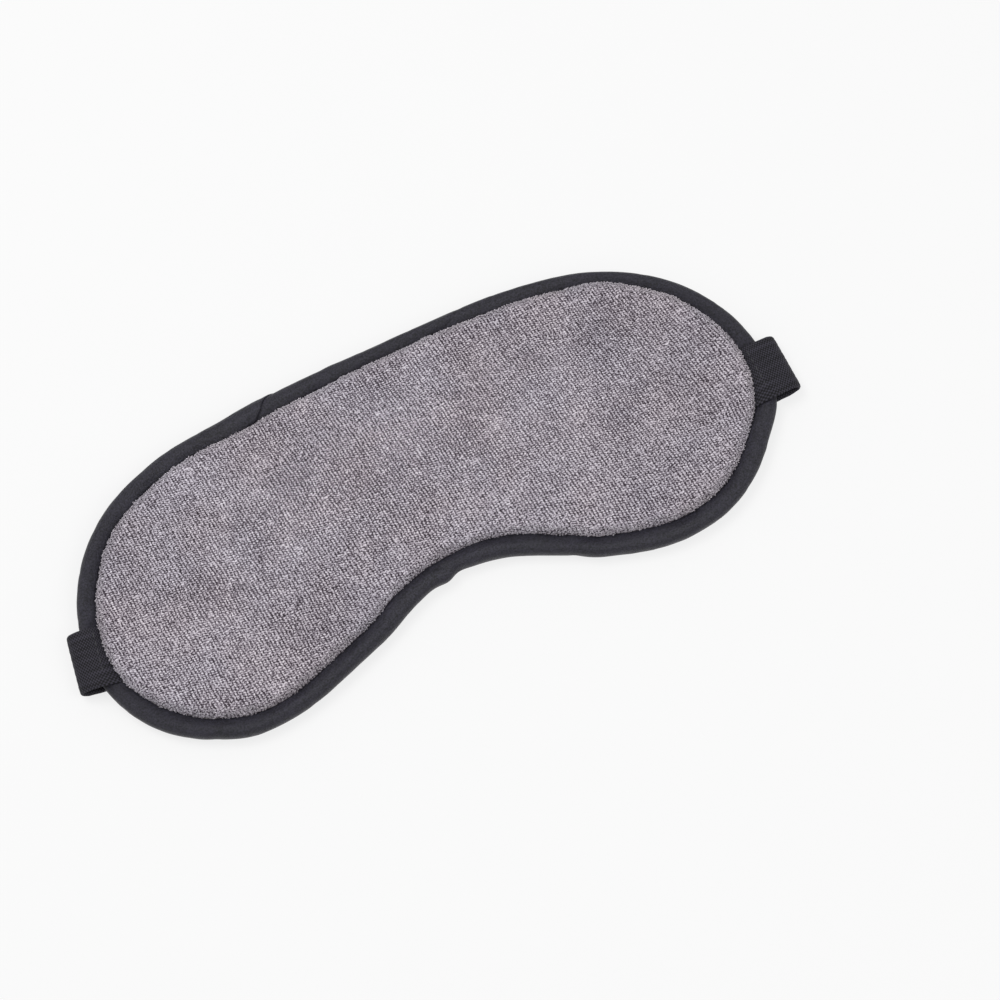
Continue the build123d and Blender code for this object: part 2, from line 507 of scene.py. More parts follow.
def elastic_material():
    """Knitted elastic: staggered dots of painted shade between dull threads, in ribs along its length with
    painted shade in their grooves, and lengthwise streaks of painted shade and light for pleats.
    """
    material, tree, shader = cloth_material("elastic_knit", 0.75, 0.04, 0.4, 0.25)
    web = layer(tree, "web", "Vector")
    along, across, _ = split(tree, web)
    turns = [math.pi / (pitch * MM) for pitch in KNIT_PITCH]
    # knit puts dots of painted shade in the dips between the threads
    knit = checks(tree, "COSINE", (along, across), turns, amount=-0.5)
    # rib paints shade into the grooves between the ribs
    rib = calc(tree, "COSINE", calc(tree, "MULTIPLY", across, 2 * math.pi / (RIB_PITCH * MM)))
    rib = weighted(tree, (rib, 0.5), plus=0.5)
    fine = speckle(tree, 3800.0)
    shade = weighted(tree, (knit, 0.92), (fine, 0.40))
    # Lengthwise streaks of painted shade and light for the strap's pleats
    pleat_shading = speckle(tree, 900.0, 1.0, stretched(tree, (0.12, 1.0, 1.0), web))
    shade = calc(tree, "ADD", shade, around_half(tree, pleat_shading, 0.6))
    shade = weighted(tree, (rib, 0.14), plus=shade)
    # gap is painted shade in the knit's dips; thread is the elastic's own dull black
    gap, side, thread = (0.0006, 0.0006, 0.0010), (0.0040, 0.0037, 0.0056), (0.031, 0.0285, 0.0405)
    colour = ramp(tree, shade, [(0.36, gap), (0.62, side), (1.0, thread)])
    height = weighted(tree, (knit, 0.7), (fine, 0.3))
    connect(tree, shader, colour, height, 0.00015, 0.6)
    return material


def thread_material():
    """Near-black sewing thread."""
    material, tree, shader = cloth_material("sewing_thread", 0.5, 0.15, 0.4, 0.4)
    fine = speckle(tree, 6500.0)
    colour = ramp(tree, fine, [(0.3, (0.009, 0.0088, 0.0110)), (0.75, (0.036, 0.035, 0.042))])
    connect(tree, shader, colour, fine, 0.00004, 0.5)
    return material


def woven_material(name, dark, light, pitch, sheen):
    """A plain woven cloth with threads at the given pitch."""
    material, tree, shader = cloth_material(name, 0.8, sheen, 0.4, 0.3)
    along, across, _ = split(tree, put(tree, "ShaderNodeTexCoord").outputs["Object"])
    weave = checks(tree, "SINE", (along, across), [2 * math.pi / (pitch * MM)] * 2)
    fine = speckle(tree, 3000.0)
    patches = speckle(tree, 60.0, 3.0)
    shade = weighted(tree, (patches, 0.3), (weave, 0.35), (fine, 0.35))
    colour = ramp(tree, shade, [(0.2, dark), (0.8, light)])
    height = weighted(tree, (weave, 0.7), (fine, 0.3))
    connect(tree, shader, colour, height, 0.00008, 0.6)
    return material


def foam_material():
    """Pale open-celled foam."""
    material, tree, shader = cloth_material("foam", 0.95, 0.0, 0.4, 0.2)
    vector = put(tree, "ShaderNodeTexCoord").outputs["Object"]
    cells = put(tree, "ShaderNodeTexVoronoi", {"Vector": vector, "Scale": 1500.0}).outputs["Distance"]
    shade = weighted(tree, (cells, 0.6), (speckle(tree, 90.0, 3.0), 0.5))
    colour = ramp(tree, shade, [(0.1, (0.30, 0.29, 0.27)), (0.9, (0.62, 0.61, 0.57))])
    connect(tree, shader, colour, cells, 0.0003, 0.6)
    return material


# ---- padding ----


def pad_levels(inset):
    """Bottom and top of the unswollen padding at each inset."""
    full = smooth_step(inset, *PAD_SLOPE)
    return [edge + (inside - edge) * full for edge, inside in zip(PAD_EDGE, PAD_FULL)]


def pad_block(material):
    """The closed, unswollen padding between the cloths."""
    points, faces, _, _ = cut_cloth(1.6, 1.6, PAD_CUT)
    snap_rim(points, faces, PAD_CUT)
    bottom, top = pad_levels(inset_of(*points.T))
    upper, lower = (swayed(np.column_stack([points, level])) for level in (top, bottom))
    count = len(points)
    sides = [(b, a, a + count, b + count) for a, b in border_of(faces)]
    every = faces.tolist() + (faces[:, ::-1] + count).tolist() + sides
    return build("foam_core", np.concatenate([upper, lower]), every, material)


def coordinates(mesh):
    flat = np.empty(3 * len(mesh.vertices))
    mesh.vertices.foreach_get("co", flat)
    return flat.reshape(-1, 3)


def swell(pad):
    """Inflates the padding by cloth simulation, held along its sewn edge."""
    remesh = pad.modifiers.new("remesh", "REMESH")
    remesh.mode, remesh.voxel_size = "VOXEL", VOXEL * MM
    apply_modifiers(pad)
    before = coordinates(pad.data)
    held = pad.vertex_groups.new(name="held")
    inset = inset_of(*before[:, :2].T / MM)
    held.add(np.flatnonzero(inset < PAD_PINNED_INSET).tolist(), 1.0, "REPLACE")
    cloth = pad.modifiers.new("cloth", "CLOTH")
    cloth.settings.vertex_group_mass = "held"
    cloth.settings.use_pressure = True
    cloth.settings.uniform_pressure_force = SWELL_PRESSURE
    cloth.settings.effector_weights.gravity = 0.0
    scene = bpy.context.scene
    for number in range(1, SWELL_FRAMES + 1):
        scene.frame_set(number)
    apply_modifiers(pad)
    scene.frame_set(1)
    after = coordinates(pad.data)
    move = after - before
    length = np.maximum(np.linalg.norm(move, axis=1, keepdims=True), 1e-9)
    move *= np.minimum(1, SWELL_CAP * MM / length)
    after = before + move
    after[:, 2] = np.maximum(after[:, 2], (STRAP_TOP + BACK_LAYERS) * MM)
    pad.data.vertices.foreach_set("co", after.ravel())
    pad.data.update()
    finer = pad.modifiers.new("finer", "SUBSURF")
    finer.levels = finer.render_levels = 1
    apply_modifiers(pad)
    pad.data.polygons.foreach_set("use_smooth", [True] * len(pad.data.polygons))


FIELD_STEP = 1.5
FIELD_SIZE = (141, 61)
FIELD_MIDDLE = (FIELD_SIZE[0] // 2, FIELD_SIZE[1] // 2)
FIELD_SPREAD = 12  # lattice cells by which the field is carried on past the padding
FIELD_BLANK = 4.0


def height_field(pad, from_above):
    """Heights of the padding's top or bottom on a coarse lattice, spread outwards past its edge."""
    tree = BVHTree.FromObject(pad, bpy.context.evaluated_depsgraph_get())
    sign = 1 if from_above else -1
    field = np.full(FIELD_SIZE, np.nan)
    for i, j in np.ndindex(*FIELD_SIZE):
        x, y = ((k - middle) * FIELD_STEP * MM for k, middle in zip((i, j), FIELD_MIDDLE))
        hit = tree.ray_cast(Vector((x, y, sign * 0.1)), Vector((0, 0, -sign)))[0]
        if hit is not None:
            field[i, j] = hit.z / MM
    for _ in range(FIELD_SPREAD):
        padded = np.pad(field, 1, constant_values=np.nan)
        near = [padded[2:, 1:-1], padded[:-2, 1:-1], padded[1:-1, 2:], padded[1:-1, :-2]]
        known = ~np.isnan(near)
        total = np.where(known, near, 0).sum(0)
        mean = np.where(known.any(0), total / np.maximum(known.sum(0), 1), np.nan)
        field = np.where(np.isnan(field), mean, field)
    return np.nan_to_num(field, nan=FIELD_BLANK)


def sample(field, x, y):
    """Heights of a field between its lattice points."""
    u = np.clip(x / FIELD_STEP + FIELD_MIDDLE[0], 0, FIELD_SIZE[0] - 1.001)
    v = np.clip(y / FIELD_STEP + FIELD_MIDDLE[1], 0, FIELD_SIZE[1] - 1.001)
    return between(field, u, v)


# ---- terry ----


def terry_level(x, y, pad_top):
    """Height of the terry without its loops: pressed by the binding, then round, then crowned."""
    inset, s = nearest_edge(x, y)
    inward = np.clip((inset - seam_inset(s)) / EDGE_ROUND, 0, 1)
    rise = EDGE_RISE * np.sqrt(1 - (1 - inward) ** 2)
    crown = np.clip(sample(pad_top, x, y) - PAD_FULL[1], -0.2, 3)
    return LAP_LEVEL + rise + crown * smooth_step(inset, 5.0, 14.0)


def loop_tone(row, column, seed=11):
    """A random number from 0 to 1 for each loop of the lattice."""
    return np.random.default_rng(seed).random((512, 512))[row % 512, column % 512]


def terry_panel(pad_top, material):
    """The terry cloth: a sheet with rows of raised loops, running in under the binding."""
    step_x, step_y = ROW_PITCH / LOOP_STEPS[0], LOOP_PITCH / LOOP_STEPS[1]
    points, faces, i, j = cut_cloth(step_x, step_y, TERRY_CUT, ROW_TURN, ROW_BOW)
    rim = np.unique(border_of(faces))
    x, y = points.T.copy()
    row, row_part = i // LOOP_STEPS[0], i % LOOP_STEPS[0]
    shift = (np.random.default_rng(5).random(512) * LOOP_STEPS[1]).astype(int)[row % 512]
    column, column_part = (j + shift) // LOOP_STEPS[1], (j + shift) % LOOP_STEPS[1]
    tone = loop_tone(row, column)
    # Some loops lean over the gap between two rows
    leaning = np.where(loop_tone(row, column, seed=12) > 1 - LEANING_SHARE, 0.45, 0.0)
    across = np.where(row_part == 1, 1.0, leaning)
    along = np.array([0.5, 1.0])[column_part]
    # pile is the loop height that terry_cloth turns into painted shade in the gaps and painted light on
    # the tips
    pile = across * np.array([0.25, 1.0])[column_part] * (0.75 + 0.25 * tone)
    inset, s = nearest_edge(x, y)
    standing = smooth_step(inset - seam_inset(s), -0.2, 0.6)
    height = across * along * (0.55 + 0.45 * tone)
    points[:, 0] += 0.30 * noise(x, y, 7.0, 21) + 0.13 * noise(x, y, 1.1, 22)
    points[:, 1] += 0.30 * noise(x, y, 6.0, 23) + 0.20 * noise(x, y, 0.9, 24)
    points[rim] = np.column_stack([x[rim], y[rim]])
    snap_rim(points, faces, TERRY_CUT)
    z = terry_level(*points.T, pad_top)
    z += standing * LOOP_HEIGHT * (height - 0.4)
    z += standing * 0.06 * noise(x, y, 2.6, 25)
    points = swayed(np.column_stack([points, z]))
    return build("terry_face", points, faces, material, closed=False, pile=pile, tone=tone)


LOOP_SEGMENTS = 5
LOOP_SIDES = 3
SIDE_ON = np.array([0.31, 0.52, 0.79])  # a direction that no loop runs along


def yarn_loops(name, root, lean, along, rise, thick, tone, material):
    """Small yarn arches. root, lean and along are n x 3 vectors; lean points from root to tip."""
    t = np.linspace(0, 1, LOOP_SEGMENTS + 1)
    arch = np.sin(np.pi * t)
    spread = -np.cos(np.pi * t) * 0.5
    line = (
        root[:, None]
        + lean[:, None] * (arch**0.8)[None, :, None]
        + along[:, None] * spread[None, :, None]
        + np.array([0, 0, 1.0]) * (rise[:, None] * arch)[..., None]
    )
    tangent = unit(np.gradient(line, axis=1))
    side = unit(np.cross(tangent, SIDE_ON))
    ring = around(side, np.cross(tangent, side), LOOP_SIDES)
    points = line[:, :, None] + ring * thick[:, None, None, None]
    faces = tube_faces(len(root), LOOP_SEGMENTS + 1, LOOP_SIDES)
    # pile here paints shade at each loop's roots and light towards its top
    pile = np.broadcast_to((0.45 + 0.25 * arch)[None, :, None], points.shape[:3]).ravel()
    tones = np.broadcast_to(tone[:, None, None], points.shape[:3]).ravel()
    return build(name, points.reshape(-1, 3), faces, material, pile=pile, tone=tones)


FRINGE_ROWS = (
    # distance of the roots inside the seam, height above the level there, pitch, reach, rise
    (0.45, -0.40, 0.34, 0.62, 0.12),
    (0.65, -0.05, 0.32, 0.52, 0.28),
    (1.25, -0.08, 0.34, 0.36, 0.34),
    (1.95, -0.12, 0.40, 0.26, 0.34),
)


def fringe_row(rng, pad_top, inset, lift, pitch, reach, up):
    """Root, lean, run, rise, thickness and tone of each loop in one row along the cut edge."""
    count = int(EDGE_LENGTH / pitch)
    s = (np.arange(count) + rng.uniform(-0.35, 0.35, count)) * EDGE_LENGTH / count
    point, normal = edge_at(s)
    depth = seam_inset(s) + inset + rng.uniform(-0.30, 0.45, count)
    flat = point - normal * depth[:, None]
    level = terry_level(*flat.T, pad_top) + lift + rng.uniform(-0.12, 0.12, count)
    clump = 0.75 + 0.5 * noise(s, s * 0 + inset, 1.7, 33)
    out = reach * clump * rng.uniform(0.65, 1.2, count)
    skew = rng.uniform(-0.45, 0.45, count)
    tangent = np.stack([normal[:, 1], -normal[:, 0]], 1)
    flat_lean = normal * out[:, None] + tangent * skew[:, None]
    wide = rng.uniform(0.16, 0.40, count)[:, None]
    twist = rng.uniform(-0.9, 0.9, count)[:, None]
    across = tangent * np.cos(twist) + normal * np.sin(twist)
    return (
        swayed(np.column_stack([flat, level])),
        np.column_stack([flat_lean, np.zeros(count)]),
        np.column_stack([across * wide, rng.uniform(-0.08, 0.08, count)]),
        up * rng.uniform(0.5, 1.2, count),
        rng.uniform(0.075, 0.12, count),
        rng.uniform(0.3, 1.0, count),
    )


def terry_fringe(pad_top, material):
    """Rows of loops along the cut edge that lean out over the binding."""
    rng = np.random.default_rng(31)
    rows = [fringe_row(rng, pad_top, *row) for row in FRINGE_ROWS]
    return yarn_loops("terry_edge_loops", *map(np.concatenate, zip(*rows)), material)


# ---- binding ----

TAPE_THICKNESS = 0.34
JOIN_S = EDGE_LENGTH - 24.2  # where the tape's ends meet, along the edge
JOIN_OVERLAP = 8.0
LAP_GAP = 0.05  # between the two ends where they lie one on the other
BIAS_LEAN = 1.35  # how far the cut ends run along the edge for each millimetre across the tape
LEAN_LIMITS = (-6.5, 8.0)
PRESSED = (8.6, 11.5)  # from the middle of a strap end, where it stops pressing the tape
PINCHES = 34  # small drag creases round the edge
PUCKER = (-4.5, -28.0)  # a place beside the pucker on the notch's flank
RING_STEP = 0.85
SECTION_POINTS = 42
SATIN_PITCH = 0.42
# Middle line of the folded tape, as inset and height, from the hidden upper end to the lower one
TAPE_SECTION = (
    (1.9, 4.12), (3.1, 4.18), (3.95, 4.28), (4.30, 4.55), (4.14, 4.88), (3.55, 5.30),
    (2.75, 5.76), (1.95, 5.98), (1.15, 5.76), (0.5, 5.05), (0.2, 4.1), (0.17, 3.0), (0.3, 1.9),
    (0.75, 0.85), (1.5, 0.3), (2.5, 0.18), (3.4, 0.24), (4.1, 0.48), (4.32, 0.85),
    (4.05, 1.22), (3.2, 1.42), (1.9, 1.48),
)


def length_along(line):
    return np.concatenate([[0], np.cumsum(np.linalg.norm(np.diff(line, axis=0), axis=1))])


def smooth_line(knots, count):
    """Evenly spaced points on a Catmull-Rom curve through the knots, and their places along it."""
    knots = np.asarray(knots, float)
    ends = np.vstack([2 * knots[0] - knots[1], knots, 2 * knots[-1] - knots[-2]])
    t = np.linspace(0, 1, 12, endpoint=False)[:, None]
    pieces = []
    for a, b, c, d in zip(ends[:-3], ends[1:-2], ends[2:-1], ends[3:]):
        bend = (2 * a - 5 * b + 4 * c - d) * t**2 + (3 * b - a - 3 * c + d) * t**3
        pieces.append(0.5 * (2 * b + (c - a) * t + bend))
    line = np.vstack(pieces + [knots[-1:]])
    length = length_along(line)
    where = np.linspace(0, length[-1], count)
    return np.column_stack([np.interp(where, length, line[:, k]) for k in range(line.shape[1])]), where


def end_frame(end):
    """Unit vectors out of the mask and across a strap end, seen from above."""
    tilt = math.radians(end["tilt"])
    out = np.array([end["side"] * math.cos(tilt), math.sin(tilt), 0.0])
    return out, np.array([-out[1], out[0], 0.0]) * end["side"]


def strap_place(end):
    """Where along the edge the middle of a strap end crosses it."""
    out, aside = end_frame(end)
    s = np.linspace(0, EDGE_LENGTH, 4000)
    from_seam = edge_at(s)[0] - np.array(end["seam"])
    offset = np.where(from_seam @ out[:2] > 0, np.abs(from_seam @ aside[:2]), np.inf)
    return s[np.argmin(offset)]


STRAP_PLACES = [strap_place(end) for end in STRAP_ENDS.values()]
EDGE_SAMPLES = np.linspace(0, EDGE_LENGTH, 8000)
PUCKER_S = EDGE_SAMPLES[np.argmin(np.hypot(*(edge_at(EDGE_SAMPLES)[0] - PUCKER).T))]


def under_strap(s):
    """1 where a strap end crosses the edge, 0 away from it."""
    cover = np.zeros(np.shape(s))
    for place in STRAP_PLACES:
        cover = np.maximum(cover, 1 - smooth_step(np.abs(around_edge(s, place)), *PRESSED))
    return cover


def folded_section():
    """The tape's section, round both faces.

    Gives inset and height, place across the tape, the way out of each face, and how far the bias
    cut leans there.
    """
    middle, where = smooth_line(TAPE_SECTION, SECTION_POINTS)
    slope = unit(np.gradient(middle, axis=0))
    normal = np.stack([-slope[:, 1], slope[:, 0]], 1)
    half = TAPE_THICKNESS / 2
    section = np.vstack([middle - normal * half, (middle + normal * half)[::-1]])
    across = np.concatenate([where, where[::-1]])
    fold = where[np.argmin(middle[:, 0] + np.abs(middle[:, 1] - 3.0))]
    return section, across, np.vstack([-normal, -normal[::-1]]), np.clip(fold - across, *LEAN_LIMITS)


def drag_creases(s, inset, z, crest, wall):
    """Small creases that the sewing dragged across the tape, each with its own slant."""
    rng = np.random.default_rng(47)
    for place in (np.arange(PINCHES) + rng.uniform(-0.4, 0.4, PINCHES)) * EDGE_LENGTH / PINCHES:
        depth, width, slant = (rng.uniform(*limits) for limits in ((0.08, 0.34), (0.45, 1.1), (-1.3, 1.3)))
        away = around_edge(s - slant * (inset - 2.0), place)
        dent = depth * np.exp(-((away / width) ** 2))
        z -= crest * dent
        inset += wall * 0.4 * dent


def sew_by_hand(s, inset, z):
    """Makes the tape uneven: its lap's edge, its crown and wall, creases, and one pucker."""
    upper = smooth_step(z, 3.0, 4.2)
    lap_edge = smooth_step(inset, 2.2, 4.0)
    inset += lap_edge * (0.20 * noise(s, s * 0, 9.0, 41) + 0.12 * noise(s, s * 0, 2.7, 42))
    inset *= 1 + upper * (seam_inset(s) / BINDING_WIDTH - 1)
    crest = upper * smooth_step(inset, 0.3, 2.0) * (1 - smooth_step(inset, 3.2, 4.2))
    slant = s + 0.9 * inset
    z += crest * (0.26 * noise(slant, inset, 7.0, 43) + 0.15 * noise(slant, inset, 2.3, 44))
    wall = 1 - smooth_step(inset, 0.0, 1.6)
    drag_creases(s, inset, z, crest, wall)
    inset += wall * (0.12 * noise(s + z, z * 0.3, 11.0, 45) + 0.07 * noise(s + z, z * 0.3, 3.0, 46))
    # The pucker on the left flank of the notch: the edge swells, then a crease draws it in
    away = around_edge(s, PUCKER_S)
    swollen = np.exp(-((away / 2.8) ** 2))
    drawn = np.exp(-(((away + 4.8) / 2.4) ** 2))
    inset += wall * (-0.75 * swollen + 0.40 * drawn)
    crease = np.exp(-(((away + 2.6 - 1.2 * (inset - 1.0)) / 0.8) ** 2))
    z -= upper * (1 - lap_edge) * 0.55 * crease


def press_by_strap(s, z):
    """Presses the tape down under a strap end, and up over the strap's lower run."""
    cover = under_strap(s)
    z -= cover * np.clip(z - 3.4, 0, None) * 0.27
    return np.where(z < 1.75, z + cover * (1.24 + z * 0.29 - z), z)


def lap_shift(run, first, last, z):
    """How far out of its face each place moves where the ends lap.

    The far end lies outside the near one on top. Beneath, the near one is drawn in instead.
    """
    beneath = 1 - smooth_step(z, 0.8, 2.2)
    far_end = smooth_step(run, last - 15.0, last - 7.0)
    near_end = 1 - smooth_step(run, first + 8.0, first + 16.0)
    share = far_end * (0.5 - 0.5 * beneath) - near_end * (0.5 + 0.5 * beneath)
    return share * (TAPE_THICKNESS + LAP_GAP)


def edge_binding(material):
    """The bias tape: folded double round the edge, its far end lapped over its near one."""
    section, across, facing, lean = folded_section()
    first, last = JOIN_S - JOIN_OVERLAP, JOIN_S + EDGE_LENGTH
    rings, columns = int((last - first) / RING_STEP), len(section)
    run = np.linspace(first, last, rings)[:, None]
    # The tape is cut on the bias, so each ring leans along the edge
    s = run - BIAS_LEAN * lean
    inset, z = (np.broadcast_to(section[:, k], s.shape).copy() for k in (0, 1))
    sew_by_hand(s, inset, z)
    z = press_by_strap(s, z)
    shift = lap_shift(run, first, last, z)
    inset += shift * facing[:, 0]
    z += shift * facing[:, 1]
    point, normal = edge_at(s)
    flat = point + normal * (at_knots(s, EDGE_SWAY) - inset)[..., None]
    points = np.concatenate([flat, z[..., None]], 2).reshape(-1, 3)
    tape = np.stack([run * MM + 0 * s, across * MM + 0 * s, 0 * s], 2).reshape(-1, 3)
    return build("bias_tape", points, strip_faces(rings, columns), material, tape=tape)


# ---- elastic strap ----

WEB_STEP = 0.20
WEB_PLACES = np.linspace(-1, 1, 65) * STRAP_WIDTH / 2  # across the strap
RIB_PITCH = 2.0
KNIT_PITCH = (0.40, 0.50)  # along and across, from a dark dot to the light one beside it
ACROSS_SAMPLES = 400


def strap_profile(end):
    """Middle line of a strap end, as distance out from the seam and height."""
    reach = end["reach"]
    return [
        (-1.3, 4.45), (-0.3, 4.95), (0.7, 5.65), (2.2, 6.2), (3.9, 6.28), (reach - 3.6, 6.12),
        (reach - 2.1, 5.55), (reach - 1.0, 4.5), (reach - 0.52, 3.2), (reach - 0.85, 1.95),
        (reach - 1.9, 0.98), (reach - 3.1, 0.62), (reach - FOLD_RUN, RUN_LEVEL),
    ]


def seam_shift(end):
    """How much further out than its middle the pile's edge crosses a strap end at each place."""
    out, aside = end_frame(end)
    reach = np.linspace(-8, 8, 321)
    places = WEB_PLACES[:, None, None] * aside[:2] + reach[None, :, None] * out[:2]
    points = np.array(end["seam"]) + places
    inset, s = nearest_edge(points[..., 0], points[..., 1])
    covered = inset + at_knots(s, EDGE_SWAY) > seam_inset(s)
    return reach[np.argmax(~covered, axis=1)]


def run_line(end):
    """Points under the mask, seen from above, from a strap end's fold to the middle stretch."""
    out, _ = end_frame(end)
    start = np.array(end["seam"]) + out[:2] * (end["reach"] - FOLD_RUN)
    leaving = start - out[:2] * RUN_EASE
    target = np.array([end["side"] * BLEND_X, RUN_Y])
    arriving = target + np.array([end["side"] * RUN_EASE, 0])
    t = np.linspace(0, 1, 10)[:, None]
    first, last = (1 - t) ** 3 * start, t**3 * target
    return first + 3 * t * (1 - t) ** 2 * leaving + 3 * t**2 * (1 - t) * arriving + last


def resampled(values, count):
    """Values given at even places, at count places instead."""
    where, wanted = np.linspace(0, 1, len(values)), np.linspace(0, 1, count)
    return np.column_stack([np.interp(wanted, where, column) for column in np.transpose(values)])


def webbing(name, line, across, material, step=WEB_STEP, shift=None):
    """Elastic swept along a 3-D middle line, ribbed lengthwise, with a knitted surface.

    shift moves its first few millimetres, by its own vector at each place across.
    """
    line, where = smooth_line(line, int(round(length_along(line)[-1] / step)) + 1)
    # A second ring close to each end keeps the shading of the cut from spreading along the strap
    close = [line[0] * 0.9 + line[1] * 0.1, line[-1] * 0.9 + line[-2] * 0.1]
    line = np.insert(line, [1, len(line) - 1], close, axis=0)
    where = np.insert(where, [1, len(where) - 1], [step * 0.1, where[-1] - step * 0.1])
    tangent = unit(np.gradient(line, axis=0))
    across = resampled(across, len(line))
    across = unit(across - tangent * (across * tangent).sum(1, keepdims=True))
    up = np.cross(tangent, across)

    place, aside = np.meshgrid(where, WEB_PLACES, indexing="ij")
    edge = np.sqrt(np.clip(1 - np.abs(2 * aside / STRAP_WIDTH) ** 14, 0.02, 1))
    rib = np.minimum(np.abs(np.sin(np.pi * (aside / RIB_PITCH + 0.5))) * 1.6, 1)
    knit = -np.cos(np.pi * place / KNIT_PITCH[0]) * np.cos(np.pi * aside / KNIT_PITCH[1])
    bumps = 0.07 * (rib - 1) + 0.05 * knit + 0.02 * noise(place, aside, 1.5, 51)
    ragged = aside + 0.05 * noise(place, 0 * aside, 1.1, 52) * (np.abs(aside) > 7.5)
    base = line[:, None] + across[:, None] * ragged[..., None]
    if shift is not None:
        gathered = 1 - smooth_step(place, 3.0, 9.0)
        bumps += 0.10 * gathered * noise(place * 0.15, aside, 0.8, 53)
        base += (1 - smooth_step(place, 0.5, 6.5))[..., None] * shift
    half = (STRAP_THICKNESS / 2 + bumps) * edge
    top, bottom = (base + sign * up[:, None] * half[..., None] for sign in (1, -1))
    ring = np.concatenate([top, bottom[:, ::-1]], 1)
    side = np.concatenate([aside, aside[:, ::-1]], 1)
    web = np.stack([where[:, None] * MM + 0 * side, side * MM, 0 * side], 2).reshape(-1, 3)
    return build(name, ring.reshape(-1, 3), strip_faces(*side.shape), material, web=web)


def strap_piece(name, end, material):
    """A strap end from the seam over the binding, folded back, and on to the middle stretch."""
    out, aside = end_frame(end)
    upper = [np.array([*end["seam"], z]) + out * reach for reach, z in strap_profile(end)]
    lower = [(x, y, RUN_LEVEL) for x, y in run_line(end)[1:]]
    line = np.array([*upper, *lower])
    # Where it lies level, its width stays square to the way it runs
    fine, _ = smooth_line(line, ACROSS_SAMPLES)
    across = np.tile(aside, (ACROSS_SAMPLES, 1))
    level = fine[:, 2] < RUN_LEVEL + 0.01
    heading = unit(np.gradient(fine[:, :2], axis=0)[level])
    turned = np.column_stack([-heading[:, 1], heading[:, 0], 0 * heading[:, 0]])
    across[level] = turned * np.sign(turned @ aside)[:, None]
    return webbing(name, line, across, material, shift=seam_shift(end)[:, None] * out)


def strap_middle(name, material):
    """The middle stretch of the strap, straight and level under the mask."""
    line = [(x, RUN_Y, RUN_LEVEL) for x in np.linspace(-BLEND_X, BLEND_X, 12)]
    return webbing(name, line, np.tile([0.0, 1.0, 0.0], (12, 1)), material, step=2 * WEB_STEP)


# ---- back cloths and thread ----


BACK_CUT = WEB + 0.2
BACK_LEVEL = 1.72  # height of the back panel where the tape's lower lap holds it


def back_level(x, y, inset, pad_bottom):
    """Height of the underside of the back panel: level under the lap, puffed down inside it."""
    puffed = smooth_step(inset, 4.6, 9.0)
    sag = np.clip(sample(pad_bottom, x, y) - BACK_LAYERS, STRAP_TOP + 0.12, 1.8)
    ripple = 0.07 * noise(x, y, 14.0, 61) + 0.04 * noise(x, y * 0.6, 5.0, 62)
    return BACK_LEVEL + (sag - BACK_LEVEL + np.abs(ripple)) * puffed


def back_cloths(pad_bottom, back, liner):
    """The woven back panel and the blackout liner that lies on it."""
    made = []
    points, faces, _, _ = cut_cloth(1.1, 1.1, BACK_CUT)
    snap_rim(points, faces, BACK_CUT)
    level = back_level(*points.T, inset_of(*points.T), pad_bottom)
    for name, material, lift, thick in (
        ("outer_cloth", back, 0.30, 0.30),
        ("blackout_cloth", liner, 0.52, 0.16),
    ):
        z = level + lift
        obj = build(name, swayed(np.column_stack([points, z])), faces, material, closed=False)
        solidify(obj, thick)
        made.append(obj)
    return made


STITCH_RINGS, STITCH_SIDES = 9, 8
STITCH_PITCH = 3.0
TACK_COUNT, TACK_PITCH = 6, 2.4
TACK_OUT, TACK_LEVEL = 2.2, 6.66  # from the seam, and height on top of the strap


def twisted_stitches(name, middle, along, outward, length, thick, sag, material):
    """Two-ply thread stitches: short twisted bars whose ends dive into the cloth."""
    t = np.linspace(-1, 1, STITCH_RINGS)
    line = (
        middle[:, None]
        + along[:, None] * (t * length / 2)[None, :, None]
        - outward[:, None] * (sag * t**4)[None, :, None]
    )
    up = outward[:, None] + 0 * line
    ring = around(np.cross(along[:, None] + 0 * line, up), up, STITCH_SIDES)
    twist = t[:, None] * 5.0 - 2 * np.pi * np.arange(STITCH_SIDES) / STITCH_SIDES
    radius = thick / 2 * (0.86 + 0.16 * np.cos(2 * twist)) * np.sqrt(1 - 0.75 * t[:, None] ** 6)
    points = line[:, :, None] + ring * radius[None, :, :, None]
    faces = tube_faces(len(middle), STITCH_RINGS, STITCH_SIDES)
    return build(name, points.reshape(-1, 3), faces, material)


def binding_stitches(pad_bottom, material):
    """The row of stitches that shows on the back, just inside the lower lap."""
    count = int(round(EDGE_LENGTH / STITCH_PITCH))
    point, normal = edge_at(np.arange(count) * EDGE_LENGTH / count)
    flat = point - normal * (BINDING_WIDTH + 0.55)
    z = back_level(*flat.T, inset_of(*flat.T), pad_bottom)
    middle = swayed(np.column_stack([flat, z - 0.06]))
    along = np.column_stack([normal[:, 1], -normal[:, 0], np.zeros(count)])
    down = np.tile([0.0, 0.0, -1.0], (count, 1))
    return twisted_stitches("tape_stitches", middle, along, down, 2.4, 0.42, 0.35, material)


def tack_row(name, end, material):
    """The stitches across a strap end, beside the seam."""
    out, aside = end_frame(end)
    offsets = (np.arange(TACK_COUNT) - (TACK_COUNT - 1) / 2) * TACK_PITCH
    middle = np.array([*end["seam"], TACK_LEVEL]) + out * TACK_OUT + aside * offsets[:, None]
    along, up = (np.tile(way, (TACK_COUNT, 1)) for way in (aside, [0.0, 0.0, 1.0]))
    return twisted_stitches(name, middle, along, up, 1.8, 0.36, 0.3, material)


# ---- assembly ----

terry = terry_material()
tape = binding_material()
elastic = elastic_material()
thread = thread_material()
back_weave = woven_material("back_cloth", (0.016, 0.0155, 0.019), (0.040, 0.039, 0.046), 0.55, 0.1)
liner_weave = woven_material("liner_cloth", (0.008, 0.008, 0.009), (0.022, 0.022, 0.024), 0.4, 0.0)
foam = foam_material()

pad = pad_block(foam)
swell(pad)
pad_top = height_field(pad, True)
pad_bottom = height_field(pad, False)

